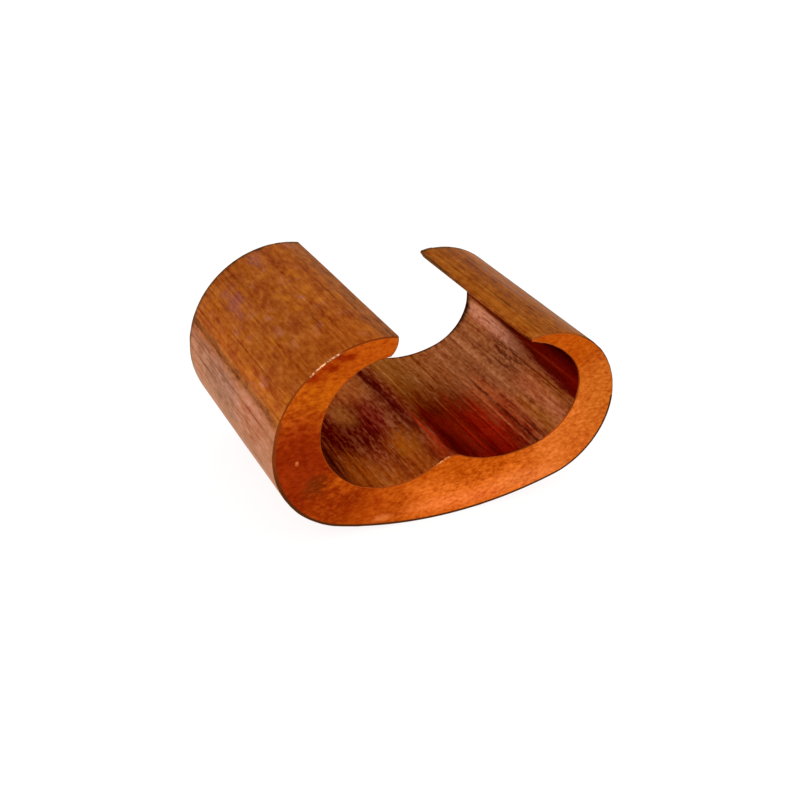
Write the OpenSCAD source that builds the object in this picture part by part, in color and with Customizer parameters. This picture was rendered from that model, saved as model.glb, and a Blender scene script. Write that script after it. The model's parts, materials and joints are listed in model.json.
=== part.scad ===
// C-tap connector: a drawn copper C-section, sawn to length.
// The main cable lies inside the hook on the left and the tap cable under the lip on the right.
// A low ridge parts the two grooves, and the mouth between hook and lip is pressed shut round the cables.
// X runs across the section, Y along the cables and Z up; the curved belly rests on Z = 0.
// Sizes are in millimetres. Directions are degrees turned left from +X, seen from the front.

/* [Length] */
// Length along the cables, between the two sawn faces
body_length = 21.5; // [8:0.5:60]

/* [Main groove] */
// Diameter of the main cable's groove, inside the hook
main_d = 13.2; // [10:0.1:16]
// How much wider the radius of the cradle below the main groove is than the groove's own
cradle_extra = 2; // [0.5:0.1:4]

/* [Hook] */
// Direction in which the cradle's wall starts to curl into the hook
hook_start = 206; // [180:1:215]
// Direction in which the hook's inner face ends
hook_end = 95; // [80:1:120]
// Thickness of the hook at its blunt tip
hook_tip_wall = 2.1; // [1.2:0.1:3.4]
// Direction across the tip, from its inner corner to its outer one
hook_tip_dir = 76; // [65:1:95]
// How far the rounded tip of the hook stands out past its two corners
hook_nose = 0.3; // [0.1:0.05:0.5]
// Direction in which the heel's outer face starts to curl into the hook
shoulder_dir = 165; // [145:1:178]

/* [Heel] */
// Thickest wall of the main side, at the heel
heel_wall = 5.2; // [4:0.1:8]
// Direction of the heel, seen from the cradle's centre
heel_dir = 221; // [205:1:235]
// How far the heel's outer face lies off centre from the cradle, towards the heel
heel_offset = 3.2; // [1.5:0.1:4]

/* [Tap groove] */
// Diameter of the tap cable's groove, under the lip
tap_d = 11.1; // [9:0.1:14]
// Distance across from the main groove's centre to the tap groove's centre
groove_pitch = 16.8; // [15:0.1:24]
// How far the tap groove's centre lies below the main groove's
tap_drop = 0.6; // [-1:0.1:2.5]
// How much wider the radius of the floor beside the ridge is than the tap groove's own
floor_extra = 6.4; // [3:0.1:12]
// Direction in which the floor runs into the tap groove
floor_dir = 294; // [280:1:305]
// Rounding of the ridge between the two grooves
ridge_r = 2.4; // [0.8:0.1:4]

/* [Lip] */
// How much wider the radius of the lip's inner face is than the tap groove's own
lip_extra = 4.5; // [2:0.1:9]
// Direction in which the tap groove runs into the lip's inner face
lip_start = 47; // [30:1:65]
// Direction in which the lip's inner face ends
lip_end = 84; // [75:1:92]
// Thickness of the lip at its thin edge
lip_tip_wall = 0.4; // [0.3:0.05:1.2]
// Direction across the lip's edge, from its inner corner to its outer one
lip_tip_dir = 94; // [85:1:105]
// How far the rounded edge of the lip stands out past its two corners
lip_nose = 0.1; // [0.05:0.01:0.14]
// Direction in which the toe's outer face starts to flatten into the lip
cheek_dir = 11; // [0:1:25]

/* [Toe] */
// Thickest wall of the tap side, at the toe
toe_wall = 6.2; // [5:0.1:9]
// Direction of the toe, seen from the tap groove's centre
toe_dir = 318; // [305:1:335]
// How far the toe's outer face lies off centre from the tap groove, towards the toe
toe_offset = 3.7; // [2:0.1:5]

/* [Belly] */
// Radius of the curved belly between heel and toe
belly_r = 45; // [32:1:120]

/* [Hidden] */
$fn = 240;
copper = [0.72, 0.36, 0.14];
// Arcs that run smoothly into each other overlap by this much, so that they cross in a clean line
seam = 0.004;
// Wedges reach this far, well past every face of the section
reach = 100;
// The mouth's edges run this far past both corners of a tip
tip_run = 3;

// Unit vector in a direction, and the direction of a vector
function heading(a) = [cos(a), sin(a)];
function bearing(v) = atan2(v.y, v.x);
// Point at distance ra from a and rb from b, on the left of the way from a to b
function meet(a, ra, b, rb) =
    let (d = norm(b - a), e = (b - a) / d, along = (d * d + ra * ra - rb * rb) / (2 * d))
    a + along * e + sqrt(ra * ra - along * along) * [-e.y, e.x];
// Radius of the arc that leaves p square to the outward direction n and passes q
function touch_r(p, n, q) = (q - p) * (q - p) / (2 * ((p - q) * n));
// Radius of a tip's rounded end, from the wall there and how far the end stands out
function nose_r(wall, stands_out) = (wall * wall / 4 + stands_out * stands_out) / (2 * stands_out);

// Inner face: main groove, cradle, ridge, floor, tap groove and lip
main_r = main_d / 2;
main_c = [0, 0];
cradle_r = main_r + cradle_extra;
cradle_c = main_c - cradle_extra * heading(hook_start);
tap_r = tap_d / 2;
tap_c = main_c + [groove_pitch, -tap_drop];
floor_r = tap_r + floor_extra;
floor_c = tap_c - floor_extra * heading(floor_dir);
lip_r = tap_r + lip_extra;
lip_c = tap_c - lip_extra * heading(lip_start);
ridge_c = meet(floor_c, floor_r + ridge_r, cradle_c, cradle_r + ridge_r);

// Tips: inner and outer corners, and the centres of their rounded ends
hook_inner = main_c + main_r * heading(hook_end);
hook_outer = hook_inner + hook_tip_wall * heading(hook_tip_dir);
hook_nose_r = nose_r(hook_tip_wall, hook_nose);
hook_nose_c = (hook_inner + hook_outer) / 2 + (hook_nose_r - hook_nose) * heading(hook_tip_dir + 90);
lip_inner = lip_c + lip_r * heading(lip_end);
lip_outer = lip_inner + lip_tip_wall * heading(lip_tip_dir);
lip_nose_r = nose_r(lip_tip_wall, lip_nose);
lip_nose_c = (lip_inner + lip_outer) / 2 + (lip_nose_r - lip_nose) * heading(lip_tip_dir - 90);

// Outer face: heel, hook, toe, lip and belly
heel_r = cradle_r + heel_wall - heel_offset;
heel_c = cradle_c + heel_offset * heading(heel_dir);
shoulder = heel_c + heel_r * heading(shoulder_dir);
hook_r = touch_r(shoulder, heading(shoulder_dir), hook_outer);
hook_c = shoulder - hook_r * heading(shoulder_dir);
toe_r = tap_r + toe_wall - toe_offset;
toe_c = tap_c + toe_offset * heading(toe_dir);
cheek = toe_c + toe_r * heading(cheek_dir);
brow_r = touch_r(cheek, heading(cheek_dir), lip_outer);
brow_c = cheek - brow_r * heading(cheek_dir);
belly_c = meet(heel_c, belly_r - heel_r, toe_c, belly_r - toe_r);

// Point of the section that stands at the origin: midway across, at the lowest line of the belly
foot = [(heel_c.x - heel_r + toe_c.x + toe_r) / 2, belly_c.y - belly_r];

module disc(centre, r) {
    translate(centre) circle(r);
}

// Everything seen from apex between two directions, turning left
module wedge(apex, from, to) {
    steps = 4;
    polygon([apex, for (i = [0 : steps]) apex + reach * heading(from + (to - from) * i / steps)]);
}

// Part of a disc that lies in a wedge
module disc_wedge(centre, r, apex, from, to) {
    intersection() {
        disc(centre, r);
        wedge(apex, from, to);
    }
}

// Two discs whose rims run into each other in a direction, the second one further to the left.
// The wider disc is drawn on its own side of that direction alone.
module disc_pair(first_c, first_r, second_c, second_r, dir) {
    if (first_r < second_r) {
        disc(first_c, first_r + seam);
        disc_wedge(second_c, second_r, second_c, dir, dir + 180);
    } else {
        disc_wedge(first_c, first_r, first_c, dir - 180, dir);
        disc(second_c, second_r + seam);
    }
}

// Outline of the section with its grooves and mouth still filled
module outer_outline() {
    disc_pair(hook_c, hook_r + seam, heel_c, heel_r + seam, shoulder_dir);
    disc_pair(toe_c, toe_r + seam, brow_c, brow_r + seam, cheek_dir);
    intersection() {
        disc(belly_c, belly_r);
        polygon([
            heel_c,
            heel_c + reach * heading(bearing(heel_c - belly_c)),
            toe_c + reach * heading(bearing(toe_c - belly_c)),
            toe_c
        ]);
    }
}

// Main groove and the cradle below it
module main_groove() {
    disc(main_c, main_r);
    disc_wedge(cradle_c, cradle_r - seam, cradle_c, hook_start, hook_start + 180);
}

// Tap groove, the floor that leads to it and the hollow under the lip
module tap_groove() {
    disc(tap_c, tap_r);
    disc_wedge(floor_c, floor_r - seam, floor_c, bearing(cradle_c - floor_c), floor_dir - 360);
    disc_wedge(lip_c, lip_r - seam, tap_c, lip_start, 180);
}

// Space over the ridge, whose rounded top is left standing
module ridge_space() {
    difference() {
        polygon([cradle_c, ridge_c, floor_c]);
        disc(ridge_c, ridge_r + 2 * seam);
    }
}

// Open mouth between the rounded tips of hook and lip
module mouth() {
    hook_run = tip_run * heading(hook_tip_dir);
    lip_run = tip_run * heading(lip_tip_dir);
    difference() {
        polygon([
            cradle_c,
            hook_inner - hook_run,
            hook_outer + hook_run,
            lip_outer + lip_run,
            lip_inner - lip_run,
            tap_c
        ]);
        disc(hook_nose_c, hook_nose_r + 3 * seam);
        disc(lip_nose_c, lip_nose_r + 3 * seam);
    }
}

// True section of the connector, standing on its belly
module section() {
    translate(-foot) difference() {
        outer_outline();
        main_groove();
        tap_groove();
        ridge_space();
        mouth();
    }
}

// The connector's one piece: the section drawn out along the cables
module connector_body() {
    color(copper) rotate([90, 0, 0]) linear_extrude(body_length, center = true) section();
}

connector_body();
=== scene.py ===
"""Dresses the C-tap connector: a length of drawn copper section, sawn off at both ends.

The outline of the section is drawn with the same arcs as the solid, drawn out along the cables, and given
the marks of its making: die lines along its length, broken edges, a sawn face at each end and tarnish.
Shade, highlights and the red that the copper reflects into its hollows are painted into its colours in
places.
"""

import json
import logging
import math
from collections.abc import Callable
from dataclasses import dataclass
from enum import Enum
from functools import cached_property

import bmesh
import bpy
from mathutils import Matrix, Vector


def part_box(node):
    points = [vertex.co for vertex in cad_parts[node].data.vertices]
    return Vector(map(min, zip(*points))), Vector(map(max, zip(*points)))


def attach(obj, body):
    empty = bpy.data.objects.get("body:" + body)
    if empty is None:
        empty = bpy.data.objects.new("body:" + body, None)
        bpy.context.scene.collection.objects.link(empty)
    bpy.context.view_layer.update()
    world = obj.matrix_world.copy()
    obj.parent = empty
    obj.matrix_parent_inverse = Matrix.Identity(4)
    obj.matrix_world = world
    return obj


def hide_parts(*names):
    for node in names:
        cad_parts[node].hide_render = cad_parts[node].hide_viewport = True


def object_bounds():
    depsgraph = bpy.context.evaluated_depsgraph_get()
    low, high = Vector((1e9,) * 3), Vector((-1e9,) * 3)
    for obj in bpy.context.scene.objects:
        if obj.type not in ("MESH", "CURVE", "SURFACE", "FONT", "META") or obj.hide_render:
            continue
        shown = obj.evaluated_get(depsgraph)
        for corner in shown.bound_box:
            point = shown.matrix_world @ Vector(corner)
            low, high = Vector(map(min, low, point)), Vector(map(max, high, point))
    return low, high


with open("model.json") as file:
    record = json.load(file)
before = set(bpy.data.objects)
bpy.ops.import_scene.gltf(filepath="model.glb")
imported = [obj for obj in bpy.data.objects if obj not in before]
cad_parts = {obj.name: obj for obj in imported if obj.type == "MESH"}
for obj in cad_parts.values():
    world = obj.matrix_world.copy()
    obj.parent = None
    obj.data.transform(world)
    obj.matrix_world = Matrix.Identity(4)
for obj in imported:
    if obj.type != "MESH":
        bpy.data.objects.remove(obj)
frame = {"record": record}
CAD_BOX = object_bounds()

NODE = "connector_body"
MM = 0.001
HALF_LENGTH = CAD_BOX[1][1] / MM
END_SPOT_DEPTH = 4
QUAD_CORNERS = 4
LOG = logging.getLogger("c_tap")

Color = tuple[float, float, float]
Triple = tuple[float, float, float]
Pair = tuple[float, float]
Socket = bpy.types.NodeSocket


class Face(Enum):
    """The connector's kinds of surface, each with its own finish."""

    SKIN = "drawn_skin"
    GROOVE = "groove_skin"
    SAWN = "sawn_face"
    EDGE = "broken_edge"


class Stretch(Enum):
    """The arcs of the section's outline, in order from the hook's outer corner to the left."""

    HOOK = "hook"
    HEEL = "heel"
    BELLY = "belly"
    TOE = "toe"
    BROW = "brow"
    LIP_EDGE = "lip_edge"
    LIP = "lip"
    TAP = "tap"
    FLOOR = "floor"
    RIDGE = "ridge"
    CRADLE = "cradle"
    MAIN = "main"
    HOOK_TIP = "hook_tip"


class End(Enum):
    """The sawn ends, each by its side along Y."""

    FRONT = -1
    BACK = 1


class Element(Enum):
    """What is selected in edit mode."""

    VERT = "verts"
    EDGE = "edges"
    FACE = "faces"


def heading(degrees: float) -> Vector:
    """Unit vector across the section in a direction, turned left from +X as seen from the front."""
    return Vector((math.cos(math.radians(degrees)), math.sin(math.radians(degrees))))


def bearing(way: Vector) -> float:
    """Direction of a vector across the section, in degrees."""
    return math.degrees(math.atan2(way.y, way.x))


def meet(a: Vector, from_a: float, b: Vector, from_b: float) -> Vector:
    """Finds where two circles cross.

    Args:
        a: Centre of the first circle.
        from_a: Radius of the first circle.
        b: Centre of the second circle.
        from_b: Radius of the second circle.

    Returns:
        The crossing on the left of the way from a to b.
    """
    apart = (b - a).length
    ahead = (b - a) / apart
    along = (apart**2 + from_a**2 - from_b**2) / (2 * apart)
    return a + along * ahead + math.sqrt(from_a**2 - along**2) * Vector((-ahead.y, ahead.x))


def touch_radius(start: Vector, outward: Vector, end: Vector) -> float:
    """Radius of the arc that leaves start square to its outward direction and passes end."""
    return (end - start).length_squared / (2 * (start - end).dot(outward))


def nose_radius(wall: float, stands_out: float) -> float:
    """Radius of a tip's rounded end, from the wall there and how far the end stands out."""
    return (wall**2 / 4 + stands_out**2) / (2 * stands_out)


@dataclass(frozen=True)
class Arc:
    """A round stretch of the outline, in millimetres and degrees; a right turn is concave."""

    centre: Vector
    radius: float
    start: float
    end: float
    face: Face

    @property
    def sweep(self) -> float:
        """How far the arc turns: to the left if positive."""
        return self.end - self.start

    @property
    def length(self) -> float:
        """Length along the arc."""
        return self.radius * math.radians(abs(self.sweep))

    def point(self, degrees: float) -> Vector:
        """Point of the arc in a direction from its centre."""
        return self.centre + self.radius * heading(degrees)

    def inward(self, degrees: float) -> Vector:
        """Unit vector into the metal, at a direction from the arc's centre."""
        return heading(degrees) * (-1 if self.sweep > 0 else 1)

    def off(self, place: Vector) -> float:
        """Distance of a place from the arc, or infinity where its direction is none of the arc's own."""
        low, high = sorted((self.start, self.end))
        turned = (bearing(place - self.centre) - low) % 360
        return abs((place - self.centre).length - self.radius) if turned <= high - low else math.inf


@dataclass
class Section:
    """The connector's section, in millimetres and degrees, with the grooves where the frame has them."""

    main_centre: Vector
    main_radius: float
    tap_centre: Vector
    tap_radius: float
    cradle_extra: float = 2.0
    hook_start: float = 206
    hook_end: float = 95
    hook_tip_wall: float = 2.1
    hook_tip_dir: float = 76
    hook_nose: float = 0.3
    shoulder_dir: float = 165
    heel_wall: float = 5.2
    heel_dir: float = 221
    heel_offset: float = 3.2
    floor_extra: float = 6.4
    floor_dir: float = 294
    ridge_radius: float = 2.4
    lip_extra: float = 4.5
    lip_start: float = 47
    lip_end: float = 84
    lip_tip_wall: float = 0.4
    lip_tip_dir: float = 94
    lip_nose: float = 0.1
    cheek_dir: float = 11
    toe_wall: float = 6.2
    toe_dir: float = 318
    toe_offset: float = 3.7
    belly_radius: float = 45

    @classmethod
    def from_record(cls, record: dict) -> "Section":
        """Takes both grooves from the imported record.

        Args:
            record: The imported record, whose mounts hold the grooves' centres and radii.

        Returns:
            The section, placed as the solid is.
        """
        mounts = {mount["name"]: mount for mount in record["mounts"]}
        grooves = []
        for name in ("main_groove", "tap_groove"):
            x, _, z = mounts[name]["pos_m"]
            grooves += [Vector((x, z)) / MM, mounts[name]["dims"]["r_mm"]]
        return cls(*grooves)

    @staticmethod
    def tip(
        wall: float, inner: Vector, across: float, stands_out: float, side: int
    ) -> tuple[Vector, Vector, float]:
        """Works out a tip's rounded end.

        Args:
            wall: Thickness at the tip.
            inner: Inner corner of the tip.
            across: Direction from the inner corner to the outer one.
            stands_out: How far the rounded end stands out past its corners.
            side: 1 if the tip's body lies on the left of that direction, -1 if on the right.

        Returns:
            The outer corner, and the centre and radius of the rounded end.
        """
        outer = inner + wall * heading(across)
        radius = nose_radius(wall, stands_out)
        return outer, (inner + outer) / 2 + (radius - stands_out) * heading(across + 90 * side), radius

    def outline(self) -> dict[Stretch, Arc]:
        """Works out the arcs of the closed outline.

        Returns:
            The arcs in order: outer face, lip's edge, inner face and hook's tip.
        """
        main, tap = self.main_centre, self.tap_centre
        cradle = main - self.cradle_extra * heading(self.hook_start)
        cradle_r = self.main_radius + self.cradle_extra
        floor = tap - self.floor_extra * heading(self.floor_dir)
        floor_r = self.tap_radius + self.floor_extra
        lip = tap - self.lip_extra * heading(self.lip_start)
        lip_r = self.tap_radius + self.lip_extra
        ridge = meet(floor, floor_r + self.ridge_radius, cradle, cradle_r + self.ridge_radius)
        hook_inner = main + self.main_radius * heading(self.hook_end)
        hook_outer, hook_nose, hook_nose_r = self.tip(
            self.hook_tip_wall, hook_inner, self.hook_tip_dir, self.hook_nose, 1)
        lip_inner = lip + lip_r * heading(self.lip_end)
        lip_outer, lip_nose, lip_nose_r = self.tip(
            self.lip_tip_wall, lip_inner, self.lip_tip_dir, self.lip_nose, -1)
        heel = cradle + self.heel_offset * heading(self.heel_dir)
        heel_r = cradle_r + self.heel_wall - self.heel_offset
        shoulder = heel + heel_r * heading(self.shoulder_dir)
        hook_r = touch_radius(shoulder, heading(self.shoulder_dir), hook_outer)
        hook = shoulder - hook_r * heading(self.shoulder_dir)
        toe = tap + self.toe_offset * heading(self.toe_dir)
        toe_r = self.tap_radius + self.toe_wall - self.toe_offset
        cheek = toe + toe_r * heading(self.cheek_dir)
        brow_r = touch_radius(cheek, heading(self.cheek_dir), lip_outer)
        brow = cheek - brow_r * heading(self.cheek_dir)
        belly = meet(heel, self.belly_radius - heel_r, toe, self.belly_radius - toe_r)
        heel_end = bearing(heel - belly) + 360
        toe_start = bearing(toe - belly) + 360
        tap_end = self.floor_dir - 360
        ridge_from_floor = bearing(floor - ridge)
        ridge_to_cradle = bearing(cradle - ridge)
        lip_nose_end = bearing(lip_inner - lip_nose) + 360
        hook_nose_start = bearing(hook_inner - hook_nose)
        hook_nose_end = bearing(hook_outer - hook_nose)
        return {
            Stretch.HOOK: Arc(hook, hook_r, bearing(hook_outer - hook), self.shoulder_dir, Face.SKIN),
            Stretch.HEEL: Arc(heel, heel_r, self.shoulder_dir, heel_end, Face.SKIN),
            Stretch.BELLY: Arc(belly, self.belly_radius, heel_end, toe_start, Face.SKIN),
            Stretch.TOE: Arc(toe, toe_r, toe_start, self.cheek_dir + 360, Face.SKIN),
            Stretch.BROW: Arc(brow, brow_r, self.cheek_dir, bearing(lip_outer - brow), Face.SKIN),
            Stretch.LIP_EDGE: Arc(
                lip_nose, lip_nose_r, bearing(lip_outer - lip_nose), lip_nose_end, Face.SKIN),
            Stretch.LIP: Arc(lip, lip_r, self.lip_end, self.lip_start, Face.GROOVE),
            Stretch.TAP: Arc(tap, self.tap_radius, self.lip_start, tap_end, Face.GROOVE),
            Stretch.FLOOR: Arc(floor, floor_r, tap_end, ridge_from_floor - 180, Face.GROOVE),
            Stretch.RIDGE: Arc(ridge, self.ridge_radius, ridge_from_floor, ridge_to_cradle, Face.GROOVE),
            Stretch.CRADLE: Arc(cradle, cradle_r, ridge_to_cradle + 180, self.hook_start, Face.GROOVE),
            Stretch.MAIN: Arc(main, self.main_radius, self.hook_start, self.hook_end, Face.GROOVE),
            Stretch.HOOK_TIP: Arc(hook_nose, hook_nose_r, hook_nose_start, hook_nose_end, Face.SKIN),
        }


def srgb(red: int, green: int, blue: int) -> Color:
    """Colour as a screen shows it, from 0 to 255, in the linear values that shaders take."""
    shares = (channel / 255 for channel in (red, green, blue))
    return tuple(s / 12.92 if s <= 0.04045 else ((s + 0.055) / 1.055) ** 2.4 for s in shares)


@dataclass(frozen=True)
class Spot:
    """A stain on the copper, a painted shade or highlight, or a patch of it with another roughness.

    Its middle and its reach along X, Y and Z are in millimetres. Blur and torn are shares of the reach, over
    which its edge fades and by which a noise tears the edge. Gaps is the share of it that pale grain leaves
    out.
    """

    color: Color
    centre: Triple
    reach: Triple
    blur: float
    torn: float
    gaps: float = 0.0

    @classmethod
    def on_end(
        cls, end: End, color: Color, middle: Pair, reach: Pair, blur: float, torn: float, gaps: float = 0.0
    ) -> "Spot":
        """Gives a stain or a painted shade on a sawn end, by its middle and its reach across the section."""
        (x, z), (wide, high) = middle, reach
        return cls(color, (x, end.value * HALF_LENGTH, z), (wide, END_SPOT_DEPTH, high), blur, torn, gaps)


class ShaderBench:
    """Lays out one material's nodes; patterns read Object coordinates, and places are in millimetres."""

    # Noise at which a dark line starts and is full
    LINE_NONE = 0.47
    LINE_FULL = 0.32
    # Tone at which the gaps in a stain start and are full
    GAP_NONE = 0.42
    GAP_FULL = 0.62
    # Least share of a colour that speckles leave
    DARKEST = 0.12
    # Sockets of the Mix node for colours, by number, because others have the same names
    MIX_SHARE = 0
    MIX_UNDER = 6
    MIX_OVER = 7
    MIX_RESULT = 2

    def __init__(self, name: str) -> None:
        """Starts a material with nothing but its output."""
        self.material = bpy.data.materials.new(name)
        self.material.use_nodes = True
        self.tree = self.material.node_tree
        self.tree.nodes.clear()
        self.output = self.tree.nodes.new("ShaderNodeOutputMaterial")

    @cached_property
    def place(self) -> Socket:
        """The Object coordinates, added where a pattern first reads them."""
        return self.tree.nodes.new("ShaderNodeTexCoord").outputs["Object"]

    def feed(self, node: bpy.types.Node, socket: str | int, value: Socket | float | Triple | None) -> None:
        """Links a socket to a node's input, or sets the input to a plain value."""
        if isinstance(value, Socket):
            self.tree.links.new(value, node.inputs[socket])
        elif value is not None:
            is_color = isinstance(value, tuple) and node.inputs[socket].type == "RGBA"
            node.inputs[socket].default_value = (*value, 1.0) if is_color else value

    def shift(self, per_mm: Triple, start: Triple = (0, 0, 0), turn: Triple = (0, 0, 0)) -> Socket:
        """Turns and stretches the coordinates.

        Args:
            per_mm: Pattern units for each millimetre along X, Y and Z.
            start: Where in the pattern the part's origin lies, so that patterns differ.
            turn: Turn of the pattern about X, Y and Z, in degrees.

        Returns:
            The pattern's coordinates.
        """
        node = self.tree.nodes.new("ShaderNodeMapping")
        self.feed(node, "Vector", self.place)
        self.feed(node, "Location", start)
        self.feed(node, "Rotation", tuple(math.radians(angle) for angle in turn))
        self.feed(node, "Scale", tuple(rate / MM for rate in per_mm))
        return node.outputs["Vector"]

    def noise(self, at: Socket, detail: float = 3, roughness: float = 0.55, distortion: float = 0) -> Socket:
        """Adds a noise that has about one swell for each pattern unit."""
        node = self.tree.nodes.new("ShaderNodeTexNoise")
        self.feed(node, "Vector", at)
        self.feed(node, "Scale", 1.0)
        self.feed(node, "Detail", detail)
        self.feed(node, "Roughness", roughness)
        self.feed(node, "Distortion", distortion)
        return node.outputs["Fac"]

    def level(
        self, value: Socket, low: float, high: float, to_low: float = 0, to_high: Socket | float = 1
    ) -> Socket:
        """Eases a value from one range into another, and holds it at the ends."""
        node = self.tree.nodes.new("ShaderNodeMapRange")
        node.interpolation_type = "SMOOTHSTEP"
        for socket, given in (("Value", value), ("From Min", low), ("From Max", high),
                              ("To Min", to_low), ("To Max", to_high)):
            self.feed(node, socket, given)
        return node.outputs["Result"]

    def math(self, operation: str, *values: Socket | float) -> Socket:
        """Joins values by a math operation."""
        node = self.tree.nodes.new("ShaderNodeMath")
        node.operation = operation
        for place, value in enumerate(values):
            self.feed(node, place, value)
        return node.outputs["Value"]

    def tone(self, *parts: tuple[Socket, float]) -> Socket:
        """Sums noises, each with its own weight, round a middle of 0.5."""
        total = 0.5 - 0.5 * sum(weight for _, weight in parts)
        for noise, weight in parts:
            total = self.math("MULTIPLY_ADD", noise, weight, total)
        return total

    def ramp(self, value: Socket, dark: Color, middle: Color, pale: Color) -> Socket:
        """Colours a tone from dark, at 0, to pale, at 1."""
        node = self.tree.nodes.new("ShaderNodeValToRGB")
        elements = node.color_ramp.elements
        elements.new(0.5)
        for element, color in zip(elements, (dark, middle, pale)):
            element.color = (*color, 1.0)
        self.feed(node, "Fac", value)
        return node.outputs["Color"]

    def mix(
        self, share: Socket | float, under: Socket | Color, over: Socket | Color, blend: str = "MIX"
    ) -> Socket:
        """Lays one colour over another by a share."""
        node = self.tree.nodes.new("ShaderNodeMix")
        node.data_type = "RGBA"
        node.blend_type = blend
        self.feed(node, self.MIX_SHARE, share)
        self.feed(node, self.MIX_UNDER, under)
        self.feed(node, self.MIX_OVER, over)
        return node.outputs[self.MIX_RESULT]

    def lay(
        self, under: Socket | Color, over: Color, pattern: Socket, none: float, full: float,
        share: Socket | float = 1
    ) -> Socket:
        """Lays a colour over another by a pattern.

        Args:
            under: Colour below.
            over: Colour on top.
            pattern: The pattern's value.
            none: Value at which nothing of the top colour shows.
            full: Value at which the whole share of it shows.
            share: How much of the colour below it hides at most.

        Returns:
            The colour that shows.
        """
        return self.mix(self.level(pattern, none, full, 0, share), under, over)

    def shade(self, under: Socket | Color, tint: Color, lines: Socket, share: Socket | float) -> Socket:
        """Darkens a colour along its lines, at most to its product with a tint."""
        return self.mix(self.level(lines, self.LINE_NONE, self.LINE_FULL, 0, share), under, tint, "MULTIPLY")

    def stain_and_paint_light(self, under: Socket | Color, spots: tuple[Spot, ...], ragged: Socket, tone: Socket) -> Socket:
        """Lays stains and painted shade and highlights over a colour, or patches over a roughness, each over
        those before it.

        Args:
            under: Colour or roughness below.
            spots: The stains and painted shade and highlights.
            ragged: A noise about 0.5 that tears their edges.
            tone: The grain, pale above 0.5, that leaves gaps in them.

        Returns:
            The colour or roughness that shows.
        """
        for spot in spots:
            per_mm = tuple(1 / along for along in spot.reach)
            start = tuple(-middle / along for middle, along in zip(spot.centre, spot.reach))
            node = self.tree.nodes.new("ShaderNodeVectorMath")
            node.operation = "LENGTH"
            self.feed(node, 0, self.shift(per_mm, start))
            torn = self.math("MULTIPLY_ADD", ragged, spot.torn, node.outputs["Value"])
            edge = 1 + spot.torn / 2
            share = self.level(tone, self.GAP_NONE, self.GAP_FULL, 1, 1 - spot.gaps) if spot.gaps else 1
            under = self.lay(under, spot.color, torn, edge + spot.blur, edge - spot.blur, share)
        return under

    def speckle(self, under: Socket | Color, tone: Socket, grit: Color) -> Socket:
        """Darkens and lightens a colour by a tone, its red, green and blue each by its own share of grit."""
        dark = tuple(max(self.DARKEST, 1 - share) for share in grit)
        pale = tuple(1 + share for share in grit)
        return self.mix(1.0, under, self.ramp(tone, dark, (1, 1, 1), pale), "MULTIPLY")

    def bump(self, *layers: tuple[Socket, float]) -> Socket:
        """Raises the surface by layers, each a height from 0 to 1 and its depth in millimetres."""
        normal = None
        for height, depth in layers:
            node = self.tree.nodes.new("ShaderNodeBump")
            self.feed(node, "Height", height)
            self.feed(node, "Distance", depth * MM)
            self.feed(node, "Normal", normal)
            normal = node.outputs["Normal"]
        return normal

    def metal(self, color: Socket, roughness: Socket, normal: Socket, glance: Color) -> bpy.types.Material:
        """Finishes the material as a metal.

        Args:
            color: Colour of the metal and its tarnish.
            roughness: How blurred its reflections are.
            normal: Its fine relief.
            glance: Tint of what it reflects at a glancing angle.

        Returns:
            The finished material.
        """
        node = self.tree.nodes.new("ShaderNodeBsdfPrincipled")
        self.feed(node, "Base Color", color)
        self.feed(node, "Roughness", roughness)
        self.feed(node, "Normal", normal)
        self.feed(node, "Metallic", 1.0)
        self.feed(node, "Specular Tint", glance)
        self.feed(self.output, "Surface", node.outputs["BSDF"])
        return self.material


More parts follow.
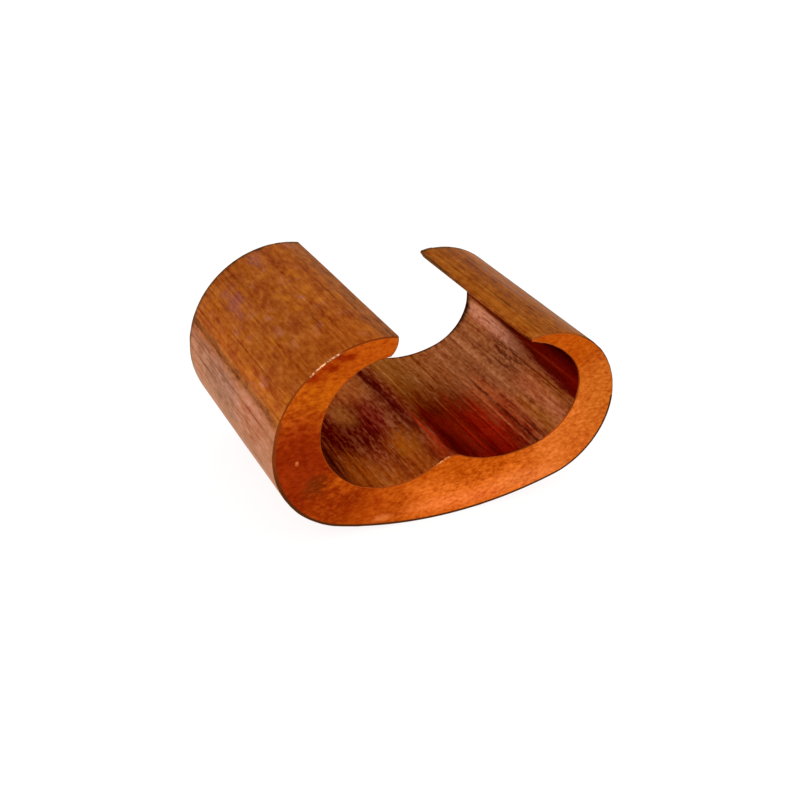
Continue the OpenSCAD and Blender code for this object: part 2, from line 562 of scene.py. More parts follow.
@dataclass(frozen=True)
class DrawnSkin:
    """The outer face: copper smoothed by the die, finely mottled with tarnish and lined along its length; a
    pale band down the hook's side is partly a painted reflection, and the far end has a painted shade.
    """

    copper: Color = srgb(185, 95, 30)
    ochre: Color = srgb(196, 106, 18)
    russet: Color = srgb(158, 66, 20)
    mauve: Color = srgb(184, 104, 74)
    line: Color = (0.5, 0.42, 0.5)
    grit: Color = (0.42, 0.85, 2.0)
    glance: Color = (0.9, 0.72, 0.55)
    spots: tuple[Spot, ...] = (
        # Lip
        Spot(srgb(166, 85, 22), (10.5, 0, 19.5), (8.5, 60, 3.5), 0.3, 0.6, 0.4),
        Spot(srgb(178, 94, 20), (7.7, -2, 19.7), (0.9, 14, 0.6), 0.6, 1.4, 0.2),
        Spot(srgb(182, 112, 78), (11.4, 1.5, 19.5), (0.6, 4.5, 0.5), 0.7, 1.6, 0.4),
        Spot(srgb(146, 80, 36), (13.8, 0, 18.6), (0.7, 60, 0.7), 0.8, 2.5, 0.4),
        Spot(srgb(150, 70, 34), (10.0, 5.5, 19.7), (0.4, 6.0, 0.4), 0.7, 1.4, 0.3),
        Spot(srgb(126, 62, 22), (8.4, -4.0, 19.75), (0.14, 4.5, 0.3), 0.6, 1.4, 0.3),
        # Hook and heel
        Spot(srgb(180, 86, 20), (-14.0, -9.0, 20.0), (6.0, 3.0, 3.5), 0.6, 1.2, 0.2),
        # The pale pinkish band down the hook's left side is partly the copper's tone and partly a painted
        # reflection of the pale surroundings.
        Spot(srgb(186, 124, 92), (-21, 0, 8.0), (6.5, 80, 5.9), 0.16, 0.45, 0.2),
        Spot(srgb(162, 110, 88), (-19.4, 1.5, 11.4), (2.2, 5.0, 2.2), 0.6, 2.0, 0.3),
        Spot(srgb(192, 124, 92), (-19.3, -5.5, 12.0), (2.0, 3.4, 2.0), 0.6, 2.0, 0.3),
        Spot(srgb(142, 76, 34), (-19.1, 0, 14.1), (0.4, 60, 0.4), 0.6, 1.2, 0.4),
        Spot(srgb(158, 98, 64), (-7.6, 0, 22.4), (2.2, 60, 1.4), 0.6, 1.2, 0.3),
        Spot(srgb(182, 100, 78), (-17.1, 5.0, 18.2), (0.7, 2.2, 0.7), 0.7, 4.0, 0.6),
        Spot(srgb(176, 98, 74), (-13.6, 8.9, 20.8), (0.7, 1.4, 0.7), 0.7, 4.0, 0.6),
        # Dark rims at the hook's tip, the lip's tip and the far end; the far end's is painted shade along
        # the back edge
        Spot(srgb(104, 62, 30), (-7.9, 0, 21.6), (0.25, 60, 0.25), 0.4, 0.8),
        Spot(srgb(112, 64, 28), (6.5, 9.5, 19.3), (0.25, 8, 0.35), 0.5, 1.0),
        Spot(srgb(92, 54, 26), (0, 11.4, 10), (90, 1.1, 90), 0.3, 1.0),
    )

    def build(self) -> bpy.types.Material:
        """Builds the finish's material."""
        bench = ShaderBench(Face.SKIN.value)
        patches = bench.noise(bench.shift((0.34, 0.2, 0.34), (5, 2, 1)), 3, 0.5, 0.3)
        mottle = bench.noise(bench.shift((1.4, 0.6, 1.4), (9, 4, 2)), 3, 0.6)
        grain = bench.noise(bench.shift((3.6, 1.1, 3.6), (3, 1, 7)), 2, 0.6)
        lines = bench.noise(bench.shift((3.0, 0.03, 3.0)), 4, 0.7)
        fade = bench.noise(bench.shift((0.5, 0.15, 0.5), (14, 6, 3)), 2)
        blush = bench.noise(bench.shift((0.7, 0.4, 0.7), (2, 11, 5)), 3, 0.6)
        bloom = bench.noise(bench.shift((0.8, 0.45, 0.8), (7, 3, 12)), 4, 0.65)
        tone = bench.tone((patches, 0.5), (mottle, 1.2), (grain, 0.9), (lines, 0.8))
        color = bench.lay(self.copper, self.ochre, blush, 0.5, 0.66, 0.6)
        color = bench.lay(color, self.russet, blush, 0.48, 0.34, 0.6)
        color = bench.lay(color, self.mauve, bloom, 0.55, 0.7, 0.6)
        color = bench.stain_and_paint_light(color, self.spots, mottle, tone)
        color = bench.speckle(color, tone, self.grit)
        color = bench.shade(color, self.line, lines, bench.level(fade, 0.42, 0.62, 0.15, 1.0))
        roughness = bench.level(mottle, 0.3, 0.7, 0.36, 0.48)
        return bench.metal(color, roughness, bench.bump((lines, 0.02), (grain, 0.008)), self.glance)


@dataclass(frozen=True)
class GrooveSkin:
    """The inner face: rougher and browner, scuffed along its length, with painted shade and painted
    reflected red in its hollows.
    """

    brown: Color = srgb(168, 94, 50)
    line: Color = (0.46, 0.32, 0.3)
    grit: Color = (0.52, 1.0, 1.8)
    glance: Color = (0.75, 0.45, 0.3)
    polish: Color = (0.22, 0.22, 0.22)
    spots: tuple[Spot, ...] = (
        # Tap groove, far floor and wall
        Spot(srgb(162, 98, 54), (2.0, 6, 6.2), (4.0, 7, 2.4), 0.5, 1.0),
        Spot(srgb(206, 115, 66), (13.0, -8.5, 8.8), (4.0, 6.5, 3.4), 0.5, 0.8),
        Spot(srgb(192, 114, 66), (12.6, 1.0, 8.5), (0.55, 13, 0.55), 0.7, 1.6, 0.2),
        Spot(srgb(122, 58, 34), (14.0, 1.4, 11.0), (1.2, 2.6, 1.8), 0.7, 3.0, 0.75),
        Spot(srgb(208, 140, 108), (14.1, 6.0, 12.3), (1.0, 6.0, 0.9), 0.7, 2.4, 0.3),
        Spot(srgb(196, 110, 40), (12.2, -9.0, 8.2), (0.9, 5.0, 0.9), 0.7, 2.0, 0.2),
        Spot(srgb(190, 104, 40), (14.0, -9.5, 11.0), (0.6, 5.0, 0.8), 0.7, 2.0, 0.2),
        Spot(srgb(184, 118, 76), (1.6, 4.7, 7.1), (0.3, 3.6, 0.3), 0.6, 1.4),
        # Tap groove, near floor; its dark reds are partly painted, for the red light that the copper walls
        # reflect onto each other
        Spot(srgb(124, 38, 18), (4.8, -6.2, 6.3), (4.8, 9.0, 2.3), 0.4, 0.9, 0.3),
        Spot(srgb(222, 132, 72), (10.4, -5.5, 7.3), (1.6, 8.5, 1.2), 0.4, 0.8),
        Spot(srgb(206, 92, 44), (8.6, -8.0, 6.7), (1.3, 7.0, 0.9), 0.6, 1.2, 0.3),
        Spot(srgb(216, 90, 48), (6.4, -9.4, 6.2), (2.8, 8.4, 1.8), 0.4, 1.2, 0.25),
        Spot(srgb(220, 86, 50), (2.8, -10.4, 6.6), (3.0, 7.2, 1.8), 0.4, 1.2, 0.15),
        Spot(srgb(180, 34, 24), (1.3, -8.0, 7.1), (0.9, 6.0, 0.7), 0.5, 1.0, 0.2),
        Spot(srgb(170, 46, 22), (6.5, -7.5, 6.25), (0.22, 6.0, 0.22), 0.6, 1.4),
        Spot(srgb(206, 104, 66), (5.85, -7.0, 6.25), (0.1, 6.5, 0.1), 0.6, 1.4, 0.3),
        Spot(srgb(206, 104, 66), (4.4, -6.5, 6.35), (0.12, 6.5, 0.12), 0.6, 1.4, 0.3),
        Spot(srgb(166, 44, 22), (2.0, -7.0, 6.95), (0.4, 6.0, 0.35), 0.6, 1.4),
        Spot(srgb(212, 100, 62), (3.5, -7.0, 6.5), (0.1, 6.0, 0.12), 0.6, 1.4, 0.3),
        Spot(srgb(156, 82, 46), (10.54, 0, 7.14), (0.18, 60, 0.18), 0.5, 1.0, 0.4),
        Spot(srgb(202, 108, 54), (8.96, -4, 6.62), (0.2, 9, 0.2), 0.6, 1.6, 0.3),
        # Hollow under the lip: painted shade in dark maroon and red, less dark towards the front, and a thin
        # painted highlight along a die line
        Spot(srgb(98, 34, 20), (13.6, 6, 17.8), (5.2, 60, 4.6), 0.06, 0.2),
        Spot(srgb(184, 78, 46), (12.4, 3.0, 18.4), (7.0, 12, 4.2), 0.15, 0.4),
        Spot(srgb(136, 42, 28), (13.6, -5.5, 17.2), (5.2, 8, 5.5), 0.08, 0.3, 0.2),
        Spot(srgb(154, 50, 34), (13.6, -9, 16.6), (5.2, 9, 5.0), 0.06, 0.25),
        Spot(srgb(196, 96, 76), (14.07, -5, 13.31), (0.15, 4.5, 0.18), 0.6, 1.2, 0.3),
        # Main groove and ridge; the groove's maroon and its near-black patches are partly painted shade, and
        # the thin red line at the ridge's front is a painted highlight
        Spot(srgb(130, 38, 20), (-9.4, 1, 8.5), (8.4, 40, 8.5), 0.1, 0.3, 0.5),
        Spot(srgb(178, 94, 42), (-3.0, 5.8, 5.9), (2.2, 3.0, 1.4), 0.6, 2.4, 0.2),
        Spot(srgb(122, 26, 18), (-3.6, 0.2, 5.8), (1.9, 3.2, 1.3), 0.6, 1.8, 0.3),
        Spot(srgb(84, 10, 8), (-7.8, -1.2, 5.4), (3.6, 3.8, 2.8), 0.5, 2.0, 0.35),
        Spot(srgb(158, 86, 40), (-5.4, 2.4, 5.3), (1.3, 1.9, 1.0), 0.7, 2.6),
        Spot(srgb(126, 46, 24), (-0.2, -1, 7.2), (1.2, 8.5, 1.2), 0.5, 1.0, 0.3),
        Spot(srgb(186, 94, 28), (-8.6, -11, 4.8), (4.6, 5.0, 2.6), 0.5, 2.0, 0.2),
        Spot(srgb(188, 96, 20), (-2.4, -6.7, 6.1), (1.5, 2.7, 1.2), 0.7, 3.0, 0.4),
        Spot(srgb(172, 78, 20), (-2.2, -10.2, 6.2), (2.4, 2.4, 1.8), 0.6, 1.6, 0.1),
        Spot(srgb(152, 52, 18), (-0.2, -9.8, 7.2), (1.3, 3.5, 1.0), 0.5, 1.2, 0.2),
        Spot(srgb(70, 8, 8), (-12.6, -5.5, 8.4), (2.4, 5.0, 3.4), 0.5, 2.0, 0.25),
        Spot(srgb(92, 12, 10), (-1.1, 8.5, 7.1), (0.28, 5.5, 0.4), 0.5, 1.2, 0.3),
        Spot(srgb(92, 12, 10), (-0.7, 0.5, 7.3), (0.34, 5.5, 0.4), 0.5, 1.2, 0.3),
        Spot(srgb(196, 58, 30), (-0.05, -6.4, 7.45), (0.2, 3.0, 0.4), 0.6, 1.6, 0.4),
        # Dark rim at the far end, painted shade along the back edges
        Spot(srgb(56, 34, 22), (0, 11.2, 10), (90, 0.75, 90), 0.3, 0.8),
        Spot(srgb(40, 22, 14), (14.2, 11.2, 11.6), (2.4, 1.3, 2.8), 0.4, 0.8),
    )
    burnished: tuple[Spot, ...] = (
        Spot(polish, (4.6, -8.0, 6.3), (4.6, 8.5, 2.2), 0.4, 1.0),
        Spot(polish, (13.6, -7, 17.0), (5.2, 11, 5.4), 0.1, 0.3),
    )

    def build(self) -> bpy.types.Material:
        """Builds the finish's material; its burnished patches are stains laid on its roughness."""
        bench = ShaderBench(Face.GROOVE.value)
        patches = bench.noise(bench.shift((0.3, 0.12, 0.3), (2, 7, 3)), 3, 0.55, 0.3)
        lines = bench.noise(bench.shift((1.9, 0.03, 1.9), (4, 0, 6)), 5, 0.7)
        fade = bench.noise(bench.shift((0.6, 0.14, 0.6), (8, 1, 5)), 2)
        scuffs = bench.noise(bench.shift((2.2, 0.32, 2.2), (7, 3, 9)), 3, 0.6)
        grain = bench.noise(bench.shift((3.8, 1.1, 3.8), (1, 8, 4)), 2, 0.6)
        flecks = bench.noise(bench.shift((2.4, 1.7, 2.4), (5, 9, 2)), 2, 0.6)
        tone = bench.tone((patches, 0.3), (scuffs, 1.2), (grain, 0.9), (lines, 1.0), (flecks, 0.7))
        color = bench.stain_and_paint_light(self.brown, self.spots, scuffs, tone)
        color = bench.speckle(color, tone, self.grit)
        color = bench.shade(color, self.line, lines, bench.level(fade, 0.36, 0.6, 0.3, 1.0))
        roughness = bench.level(scuffs, 0.3, 0.7, 0.36, 0.48)
        roughness = bench.stain_and_paint_light(roughness, self.burnished, scuffs, tone)
        return bench.metal(color, roughness, bench.bump((lines, 0.025), (grain, 0.008)), self.glance)


@dataclass(frozen=True)
class SawnFace:
    """The sawn ends: bare bright copper with a fine torn grain, darker in patches, with painted shade under
    the hook's front edge.
    """

    orange: Color = srgb(190, 82, 12)
    saw_lean: float = -25
    grit: Color = (0.44, 0.85, 2.2)
    glance: Color = (0.9, 0.6, 0.35)
    spots: tuple[Spot, ...] = (
        # Front end, from below the grooves to the lip
        Spot.on_end(End.FRONT, srgb(226, 110, 32), (6.8, 2.8), (11.5, 4.8), 0.4, 0.8),
        Spot.on_end(End.FRONT, srgb(192, 82, 10), (3.2, 6.3), (7.8, 2.6), 0.45, 0.8, 0.2),
        Spot.on_end(End.FRONT, srgb(240, 124, 52), (2.8, 1.8), (6.5, 0.8), 0.7, 1.2, 0.2),
        Spot.on_end(End.FRONT, srgb(216, 110, 38), (15.5, 7.5), (5.5, 6.0), 0.5, 0.8),
        Spot.on_end(End.FRONT, srgb(204, 104, 32), (18.5, 13.5), (4.0, 5.5), 0.5, 0.8),
        # Front end, heel and hook
        Spot.on_end(End.FRONT, srgb(194, 90, 10), (-15.6, 16.4), (2.6, 2.2), 0.6, 1.5),
        Spot.on_end(End.FRONT, srgb(148, 42, 6), (-17.0, 8.6), (4.2, 6.4), 0.5, 1.2),
        Spot.on_end(End.FRONT, srgb(154, 50, 8), (-12.0, 3.8), (3.4, 2.4), 0.6, 1.5, 0.2),
        Spot.on_end(End.FRONT, srgb(178, 70, 10), (-8.0, 2.2), (3.4, 2.2), 0.7, 1.2, 0.2),
        Spot.on_end(End.FRONT, srgb(130, 48, 10), (-14.8, 7.0), (1.1, 1.1), 0.7, 2.5, 0.3),
        Spot.on_end(End.FRONT, srgb(170, 60, 10), (-7.7, 3.6), (0.45, 1.4), 0.7, 2.5, 0.4),
        # Painted shade, dark red, under the hook's front edge
        Spot.on_end(End.FRONT, srgb(156, 46, 4), (-16.0, 18.4), (0.9, 0.55), 0.7, 1.4),
        Spot.on_end(End.FRONT, srgb(156, 46, 4), (-14.9, 19.35), (1.0, 0.5), 0.7, 1.4),
        Spot.on_end(End.FRONT, srgb(156, 46, 4), (-13.5, 20.1), (1.2, 0.4), 0.7, 1.4),
        # Front end, brighter patches
        Spot.on_end(End.FRONT, srgb(228, 124, 56), (-7.0, 1.5), (0.9, 0.35), 0.7, 2.5, 0.5),
        Spot.on_end(End.FRONT, srgb(224, 124, 66), (-16.9, 9.9), (0.16, 0.22), 0.6, 1.5),
        Spot.on_end(End.FRONT, srgb(234, 126, 56), (10.6, 2.8), (4.2, 1.0), 0.7, 1.5, 0.3),
        # Back end
        Spot.on_end(End.BACK, srgb(222, 108, 32), (-5.0, 2.8), (12.5, 4.8), 0.4, 0.8),
        Spot.on_end(End.BACK, srgb(210, 106, 36), (-17.5, 11.0), (4.0, 6.5), 0.5, 0.8),
        Spot.on_end(End.BACK, srgb(152, 48, 8), (17.0, 6.5), (4.2, 4.6), 0.5, 1.2, 0.2),
    )

    def build(self) -> bpy.types.Material:
        """Builds the finish's material."""
        bench = ShaderBench(Face.SAWN.value)
        patches = bench.noise(bench.shift((0.25, 0.25, 0.25), (1, 5, 8)), 2, 0.5, 0.3)
        lean = (0, self.saw_lean, 0)
        mottle = bench.noise(bench.shift((1.2, 1.4, 1.6), (6, 2, 4), lean), 3, 0.55, 0.2)
        grain = bench.noise(bench.shift((2.0, 3.6, 3.6), (2, 9, 1), lean), 2, 0.6)
        tone = bench.tone((patches, 0.6), (mottle, 0.9), (grain, 1.0))
        color = bench.stain_and_paint_light(self.orange, self.spots, mottle, tone)
        color = bench.speckle(color, tone, self.grit)
        roughness = bench.level(mottle, 0.3, 0.7, 0.4, 0.52)
        return bench.metal(color, roughness, bench.bump((mottle, 0.012), (grain, 0.01)), self.glance)


@dataclass(frozen=True)
class BrokenEdge:
    """The edges round the sawn ends: dark in most places, partly as painted shade, with painted highlights
    in a few.
    """

    dark: Color = srgb(84, 42, 20)
    glance: Color = (0.8, 0.55, 0.35)
    spots: tuple[Spot, ...] = (
        Spot(srgb(140, 60, 18), (-12, 0, 16), (10, 90, 9), 0.3, 0.6),
        Spot(srgb(176, 76, 22), (0, 0, 7.6), (13, 90, 5), 0.3, 0.6),
        Spot(srgb(156, 66, 20), (9.5, 0, 12.5), (5.5, 90, 6), 0.2, 0.4),
        Spot(srgb(176, 86, 32), (9.0, -10.7, 19.8), (5.0, 3, 1.6), 0.4, 1.0, 0.2),
        # Painted highlights where the hook's front edge and the ridge's front corner catch the light.
        Spot(srgb(246, 186, 140), (-15.4, -10.7, 19.9), (1.6, 1, 1.6), 0.2, 1.2, 0.9),
        Spot(srgb(228, 150, 92), (-0.9, -10.7, 7.0), (0.8, 1, 0.8), 0.2, 1.2, 0.9),
    )

    def build(self) -> bpy.types.Material:
        """Builds the finish's material."""
        bench = ShaderBench(Face.EDGE.value)
        rub = bench.noise(bench.shift((0.9, 0.9, 0.9), (4, 4, 9)), 3, 0.65)
        grain = bench.noise(bench.shift((4.0, 4.0, 4.0), (3, 6, 2)), 3, 0.6)
        color = bench.stain_and_paint_light(self.dark, self.spots, rub, grain)
        roughness = bench.level(grain, 0.35, 0.65, 0.3, 0.45)
        return bench.metal(color, roughness, bench.bump((grain, 0.01)), self.glance)


FINISHES = {
    Face.SKIN: DrawnSkin(),
    Face.GROOVE: GrooveSkin(),
    Face.SAWN: SawnFace(),
    Face.EDGE: BrokenEdge(),
}


def pick(piece: bpy.types.Object, element: Element, wanted: Callable[[object], bool]) -> None:
    """Selects, in edit mode, only those elements of a piece that are wanted.

    Args:
        piece: The piece in edit mode.
        element: Whether vertices, edges or faces are selected.
        wanted: Test of one element.
    """
    bpy.ops.mesh.select_mode(type=element.name)
    bpy.ops.mesh.select_all(action="DESELECT")
    mesh = bmesh.from_edit_mesh(piece.data)
    for item in getattr(mesh, element.value):
        if wanted(item):
            item.select_set(True)
    bmesh.update_edit_mesh(piece.data)


@dataclass(frozen=True)
class DieLines:
    """Lines that specks in the die score into a stretch from end to end: the direction and depth of each."""

    stretch: Stretch
    lines: tuple[Pair, ...]


@dataclass
class ConnectorBody:
    """The whole connector, one piece: its section drawn out along the cables.

    Sizes are in millimetres and angles in degrees; slack is what two places may differ by and still be one.
    """

    section: Section
    length: float
    outline_step: float = 0.12
    merge_below: float = 0.012
    slack: float = 0.005
    tip_steps: int = 8
    row: float = 0.43
    edge_break: float = 0.1
    edge_segments: int = 3
    edge_border: float = 0.06
    foot_border: float = 0.2
    lip_corner_worn: float = 0.25
    lip_corner_reach: float = 1.0
    streak_width: float = 0.7
    streak_depth: float = 0.02
    dent_width: float = 4.5
    dent_depth: float = 0.05
    nick_width: float = 1.8
    nick_depth: float = 0.09
    mark_detail: int = 2
    smooth_below: float = 40
    line_reach: float = 0.09
    die_lines: tuple[DieLines, ...] = (
        DieLines(Stretch.HOOK, ((108, 0.03), (126.5, 0.03), (139, 0.05), (141.5, 0.03), (163, 0.04))),
        DieLines(Stretch.HEEL, ((167.5, 0.06), (170, 0.04), (188, 0.04))),
        DieLines(Stretch.BELLY, ((258, 0.04), (271, 0.05))),
        DieLines(Stretch.TOE, ((334, 0.04), (357, 0.03))),
        DieLines(Stretch.BROW, ((62, 0.03), (84, 0.04))),
        DieLines(Stretch.TAP, ((-14, 0.04), (-33, 0.03), (-46, 0.03))),
        DieLines(Stretch.FLOOR, ((-72, 0.03), (-80, 0.03), (-94, 0.04))),
        DieLines(Stretch.CRADLE, ((281, 0.05), (264, 0.04), (247, 0.05), (231, 0.04))),
        DieLines(Stretch.MAIN, ((172, 0.04), (138, 0.04))),
    )

    @property
    def skin_end(self) -> float:
        """How far from the middle the skin ends along Y, in metres: just short of the broken edges."""
        return (self.length / 2 - self.edge_break - self.slack) * MM

    @property
    def flat_from(self) -> float:
        """How far from the middle a sawn face lies along Y, in metres, less the slack."""
        return (self.length / 2 - self.slack) * MM

    def lip_tip(self) -> Vector:
        """Middle of the lip's thin edge, across the section."""
        edge = self.section.outline()[Stretch.LIP_EDGE]
        return edge.point((edge.start + edge.end) / 2)

    def build(self) -> bpy.types.Object:
        """Models the connector and dresses it.

        Returns:
            The finished piece, at the origin.
        """
        piece = self.draw_outline()
        self.draw_out(piece)
        self.break_edges(piece)
        self.score(piece)
        self.blunt_lip_corners(piece)
        bpy.ops.object.mode_set(mode="OBJECT")
        self.mark(piece, "streaks", self.inside, self.streak_width, math.inf, self.streak_depth)
        self.mark(piece, "dents", self.inside, self.dent_width, 2 * self.dent_width, self.dent_depth)
        self.mark(piece, "nicks", self.at_edge(), self.nick_width, self.nick_width, self.nick_depth)
        self.dress(piece)
        return piece

    def draw_outline(self) -> bpy.types.Object:
        """Draws the outline at the front face, by spinning one corner of a small plane along each arc."""
        arcs = list(self.section.outline().values())
        start = arcs[0].point(arcs[0].start)
        bpy.ops.object.select_all(action="DESELECT")
        bpy.ops.mesh.primitive_plane_add(size=self.section.hook_tip_wall * MM)
        piece = bpy.context.object
        piece.name = "drawn_copper_body"
        bpy.ops.object.mode_set(mode="EDIT")
        pick(piece, Element.VERT, lambda vert: vert.index > 0)
        bpy.ops.mesh.delete(type="VERT")
        bpy.ops.mesh.select_all(action="SELECT")
        corner = bmesh.from_edit_mesh(piece.data).verts[:][0].co
        front = Vector((start.x, -self.length / 2, start.y)) * MM
        bpy.ops.transform.translate(value=front - corner)
        for arc in arcs:
            bpy.ops.mesh.spin(
                steps=max(self.tip_steps, round(arc.length / self.outline_step)),
                angle=math.radians(arc.sweep),
                center=(arc.centre.x * MM, front.y, arc.centre.y * MM),
                axis=(0, 1, 0),
            )
        bpy.ops.mesh.select_all(action="SELECT")
        bpy.ops.mesh.remove_doubles(threshold=self.merge_below * MM)
        bpy.ops.mesh.edge_face_add()
        return piece

    def draw_out(self, piece: bpy.types.Object) -> None:
        """Draws the filled outline out to the full length and divides it into rows."""
        bpy.ops.mesh.extrude_region_move(TRANSFORM_OT_translate={"value": (0, self.length * MM, 0)})
        bpy.ops.mesh.select_all(action="SELECT")
        bpy.ops.mesh.normals_make_consistent(inside=False)
        pick(piece, Element.EDGE, lambda edge: edge.calc_length() > self.length / 2 * MM)
        bpy.ops.mesh.subdivide(number_cuts=round(self.length / self.row) - 1)

    def break_edges(self, piece: bpy.types.Object) -> None:
        """Breaks the edges round both sawn faces and borders the faces, more widely along the underside."""
        pick(piece, Element.EDGE, lambda edge: min(abs(vert.co.y) for vert in edge.verts) > self.flat_from)
        bpy.ops.mesh.bevel(
            offset=self.edge_break * MM, segments=self.edge_segments, affect="EDGES", clamp_overlap=False)
        pick(piece, Element.FACE, lambda face: len(face.verts) > QUAD_CORNERS)
        bpy.ops.mesh.inset(thickness=self.edge_border * MM, use_individual=True)
        arcs = self.section.outline()
        for arc in (arcs[Stretch.HEEL], arcs[Stretch.BELLY], arcs[Stretch.TOE]):
            pick(piece, Element.VERT, lambda vert: self.on_border(vert, arc))
            share = 1 - self.foot_border / arc.radius
            middle = (arc.centre.x * MM, 0, arc.centre.y * MM)
            bpy.ops.transform.resize(value=(share, 1, share), center_override=middle)

    def on_border(self, vert: bmesh.types.BMVert, arc: Arc) -> bool:
        """Tells whether a vertex lies on the inner side of a sawn face's border, along an arc."""
        if abs(vert.co.y) < self.flat_from:
            return False
        inner = self.edge_break + self.edge_border
        return abs(arc.off(vert.co.xz / MM) - inner) < self.edge_border / 2

    def inside(self, vert: bmesh.types.BMVert | bpy.types.MeshVertex) -> bool:
        """Tells whether a vertex lies on the skin, clear of the broken edges."""
        return abs(vert.co.y) < self.skin_end

    def score(self, piece: bpy.types.Object) -> None:
        """Scores the die's lines into the skin."""
        arcs = self.section.outline()
        near = self.line_reach * MM
        for scored in self.die_lines:
            arc = arcs[scored.stretch]
            for degrees, depth in scored.lines:
                place = arc.point(degrees) * MM
                pick(piece, Element.VERT,
                     lambda vert: self.inside(vert) and (vert.co.xz - place).length < near)
                x, z = arc.inward(degrees) * depth * MM
                bpy.ops.transform.translate(value=(x, 0, z))

    def at_edge(self) -> Callable[[bpy.types.MeshVertex], bool]:
        """Gives a test for vertices on the broken edges, clear of the sawn faces and the thin lip."""
        tip = self.lip_tip()
        return lambda vert: (
            self.skin_end <= abs(vert.co.y) < self.flat_from
            and (vert.co.xz / MM - tip).length > self.nick_width)

    def blunt_lip_corners(self, piece: bpy.types.Object) -> None:
        """Wears both corners of the lip's thin edge round."""
        tip = self.lip_tip()
        near = self.section.lip_tip_wall
        x, z = heading(self.section.lip_tip_dir - 90) * self.lip_corner_worn * MM
        for end in End:
            pick(piece, Element.VERT, lambda vert: (
                vert.co.y * end.value > self.skin_end and (vert.co.xz / MM - tip).length < near))
            bpy.ops.transform.translate(
                value=(x, 0, z),
                use_proportional_edit=True,
                use_proportional_connected=True,
                proportional_edit_falloff="SMOOTH",
                proportional_size=self.lip_corner_reach * MM,
            )

    def mark(
        self, piece: bpy.types.Object, name: str, wanted: Callable[[bpy.types.MeshVertex], bool],
        width: float, run: float, depth: float
    ) -> None:
        """Presses shallow marks into the metal, none deeper than a depth.

        Args:
            piece: The piece, in object mode.
            name: What the marks are.
            wanted: Test of whether a vertex takes the marks.
            width: Size of the marks round the section.
            run: Size of the marks along the cables, or infinity for marks from end to end.
            depth: Depth of the marks.
        """
        marked = piece.vertex_groups.new(name=name)
        marked.add([vert.index for vert in piece.data.vertices if wanted(vert)], 1.0, "REPLACE")
        texture = bpy.data.textures.new(name, "CLOUDS")
        texture.noise_scale = 1.0
        texture.noise_depth = self.mark_detail
        ruler = bpy.data.objects.new(name + "_ruler", None)
        bpy.context.collection.objects.link(ruler)
        ruler.scale = (width * MM, 1.0 if math.isinf(run) else run * MM, width * MM)
        bpy.context.view_layer.update()
        marks = piece.modifiers.new(name, "DISPLACE")
        marks.texture = texture
        marks.texture_coords = "OBJECT"
        marks.texture_coords_object = ruler
        marks.vertex_group = name
        marks.mid_level = 1.0
        marks.strength = depth * MM
        bpy.ops.object.modifier_apply(modifier=name)
        piece.vertex_groups.remove(piece.vertex_groups[name])
        bpy.data.objects.remove(ruler)
        bpy.data.textures.remove(texture)

    def kind(self, face: bmesh.types.BMFace, arcs: list[Arc]) -> Face:
        """Tells which kind of surface a face of the piece is, by its place."""
        if len(face.verts) > QUAD_CORNERS:
            return Face.SAWN
        middle = face.calc_center_median() / MM
        if abs(middle.y) > self.length / 2 - self.edge_break:
            return Face.EDGE
        place = middle.xz
        return min(arcs, key=lambda arc: arc.off(place)).face

    def dress(self, piece: bpy.types.Object) -> None:
        """Gives each kind of surface its finish and ties the piece to the frame."""
        arcs = list(self.section.outline().values())
        bpy.ops.object.mode_set(mode="EDIT")
        for slot, (face, finish) in enumerate(FINISHES.items()):
            piece.data.materials.append(finish.build())
            pick(piece, Element.FACE, lambda item: self.kind(item, arcs) is face)
            piece.active_material_index = slot
            bpy.ops.object.material_slot_assign()
        bpy.ops.object.mode_set(mode="OBJECT")
        bpy.ops.object.shade_smooth_by_angle(angle=math.radians(self.smooth_below))
        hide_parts(NODE)
        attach(piece, "root")


@dataclass(frozen=True)
class Lamp:
    """A soft lamp that shines on the connector; sizes are in metres and directions in degrees."""

    name: str
    azimuth: float
    elevation: float
    away: float
    size: float
    watts: float

    def light(self, aim: Vector) -> None:
        """Hangs the lamp round a point and turns it there."""
        back = view_back(self.azimuth, self.elevation)
        bpy.ops.object.light_add(type="AREA", location=aim + back * self.away)
        lamp = bpy.context.object
        lamp.name = self.name
        lamp.rotation_euler = (-back).to_track_quat("-Z", "Y").to_euler()
        lamp.data.shape = "DISK"
        lamp.data.size = self.size
        lamp.data.energy = self.watts


def view_back(azimuth: float, elevation: float) -> Vector:
    """Unit vector from what is looked at to the eye; azimuth 0 looks along +Y."""
    a, e = math.radians(azimuth), math.radians(elevation)
    return Vector((math.sin(a) * math.cos(e), -math.cos(a) * math.cos(e), math.sin(e)))


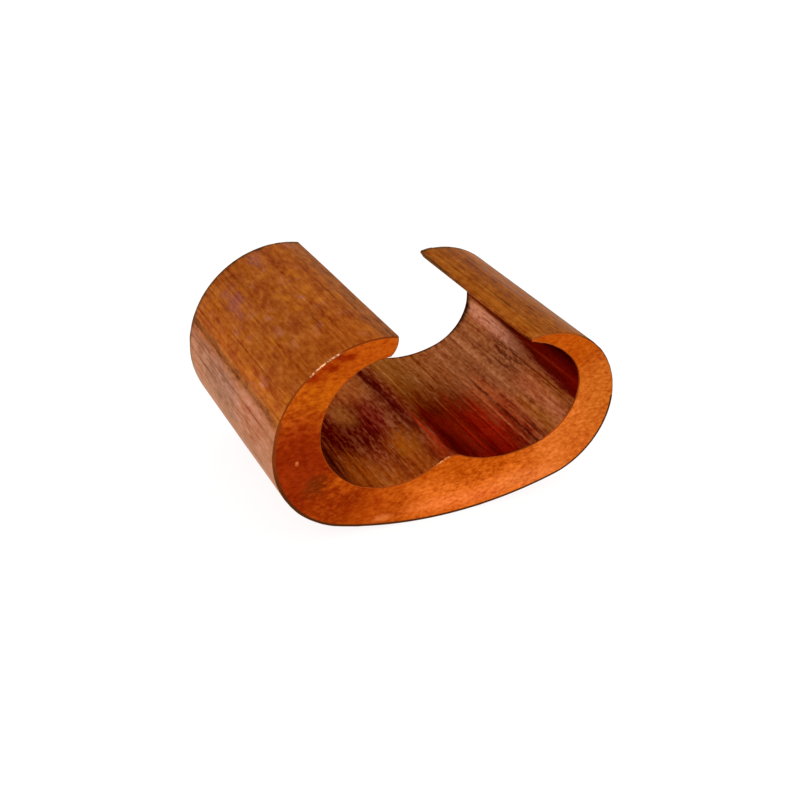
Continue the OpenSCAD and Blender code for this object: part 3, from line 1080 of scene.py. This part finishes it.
@dataclass(frozen=True)
class Studio:
    """The camera at the photograph's viewing angle, the pale floor and the soft light.

    The camera's sizes are in millimetres, the floor's in metres and directions in degrees.
    """

    azimuth: float = -33.885
    elevation: float = 29.75
    roll: float = 9.302
    stands_at: Triple = (-52.543, -78.346, 61.45)
    focal_px: float = 1033.05
    frame_px: float = 800
    sensor: float = 36.0
    sees_from: float = 1.0
    floor_size: float = 6.0
    floor_glow: float = 0.88
    floor_color: Color = (0.22, 0.22, 0.22)
    sky_low: float = 0.75
    sky_high: float = 0.6
    lamps: tuple[Lamp, ...] = (
        Lamp("front_key", -50, 42, 0.6, 0.5, 0.8),
        Lamp("right_fill", 60, 35, 0.7, 0.5, 0.3),
        Lamp("top_soft", 160, 70, 0.7, 0.6, 0.4),
    )

    def build(self) -> None:
        """Sets up the camera, the floor, the lamps and the world."""
        self.place_camera()
        self.lay_floor()
        low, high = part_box(NODE)
        for lamp in self.lamps:
            lamp.light((low + high) / 2)
        self.light_world()
        bpy.context.scene.view_settings.view_transform = "Standard"

    def place_camera(self) -> None:
        """Places the camera at the photograph's viewing point, with its roll."""
        back = view_back(self.azimuth, self.elevation)
        level = Vector((math.cos(math.radians(self.azimuth)), math.sin(math.radians(self.azimuth)), 0))
        lean = Matrix.Rotation(math.radians(self.roll), 3, back)
        right, up = lean @ level, lean @ back.cross(level)
        turn = Matrix((right, up, back)).transposed()
        bpy.ops.object.camera_add(location=Vector(self.stands_at) * MM, rotation=turn.to_euler())
        camera = bpy.context.object
        camera.name = "photo_camera"
        camera.data.sensor_width = self.sensor
        camera.data.lens = self.focal_px / self.frame_px * self.sensor
        camera.data.clip_start = self.sees_from * MM
        bpy.context.scene.camera = camera

    @staticmethod
    def seen_ray(bench: ShaderBench) -> Socket:
        """Adds nodes that give 1 for rays from the camera, reflections and glass, and 0 for other light."""
        path = bench.tree.nodes.new("ShaderNodeLightPath")
        seen = bench.math("MAXIMUM", path.outputs["Is Camera Ray"], path.outputs["Is Glossy Ray"])
        return bench.math("MAXIMUM", seen, path.outputs["Is Transmission Ray"])

    def lay_floor(self) -> None:
        """Lays a pale floor that is white to the eye and still takes the connector's shadow."""
        bpy.ops.mesh.primitive_plane_add(size=self.floor_size)
        floor = bpy.context.object
        floor.name = "studio_floor"
        bench = ShaderBench("pale_floor")
        paint = bench.tree.nodes.new("ShaderNodeBsdfDiffuse")
        bench.feed(paint, "Color", self.floor_color)
        glow = bench.tree.nodes.new("ShaderNodeEmission")
        bench.feed(glow, "Strength", bench.math("MULTIPLY", self.seen_ray(bench), self.floor_glow))
        both = bench.tree.nodes.new("ShaderNodeAddShader")
        bench.feed(both, 0, paint.outputs["BSDF"])
        bench.feed(both, 1, glow.outputs["Emission"])
        bench.feed(bench.output, "Surface", both.outputs["Shader"])
        floor.data.materials.append(bench.material)

    def light_world(self) -> None:
        """Lights the scene from all round by a pale sky that is a little darker overhead."""
        world = bpy.data.worlds.new("studio_sky")
        world.use_nodes = True
        tree = world.node_tree
        tree.nodes.clear()
        background = tree.nodes.new("ShaderNodeBackground")
        output = tree.nodes.new("ShaderNodeOutputWorld")
        way = tree.nodes.new("ShaderNodeTexCoord")
        split = tree.nodes.new("ShaderNodeSeparateXYZ")
        strength = tree.nodes.new("ShaderNodeMapRange")
        strength.inputs["To Min"].default_value = self.sky_low
        strength.inputs["To Max"].default_value = self.sky_high
        background.inputs["Color"].default_value = (1, 1, 1, 1)
        tree.links.new(way.outputs["Generated"], split.inputs["Vector"])
        tree.links.new(split.outputs["Z"], strength.inputs["Value"])
        tree.links.new(strength.outputs["Result"], background.inputs["Strength"])
        tree.links.new(background.outputs["Background"], output.inputs["Surface"])
        bpy.context.scene.world = world


def write_sizes() -> None:
    """Brings the view layer up to date."""
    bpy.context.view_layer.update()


def main() -> None:
    """Builds the studio and the connector, and reports each piece."""
    logging.basicConfig(level=logging.INFO, format="%(name)s: %(message)s")
    Studio().build()
    low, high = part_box(NODE)
    body = ConnectorBody(Section.from_record(frame["record"]), (high.y - low.y) / MM).build()
    LOG.info("%s: %d faces", body.name, len(body.data.polygons))
    write_sizes()


if __name__ == "__main__":
    main()
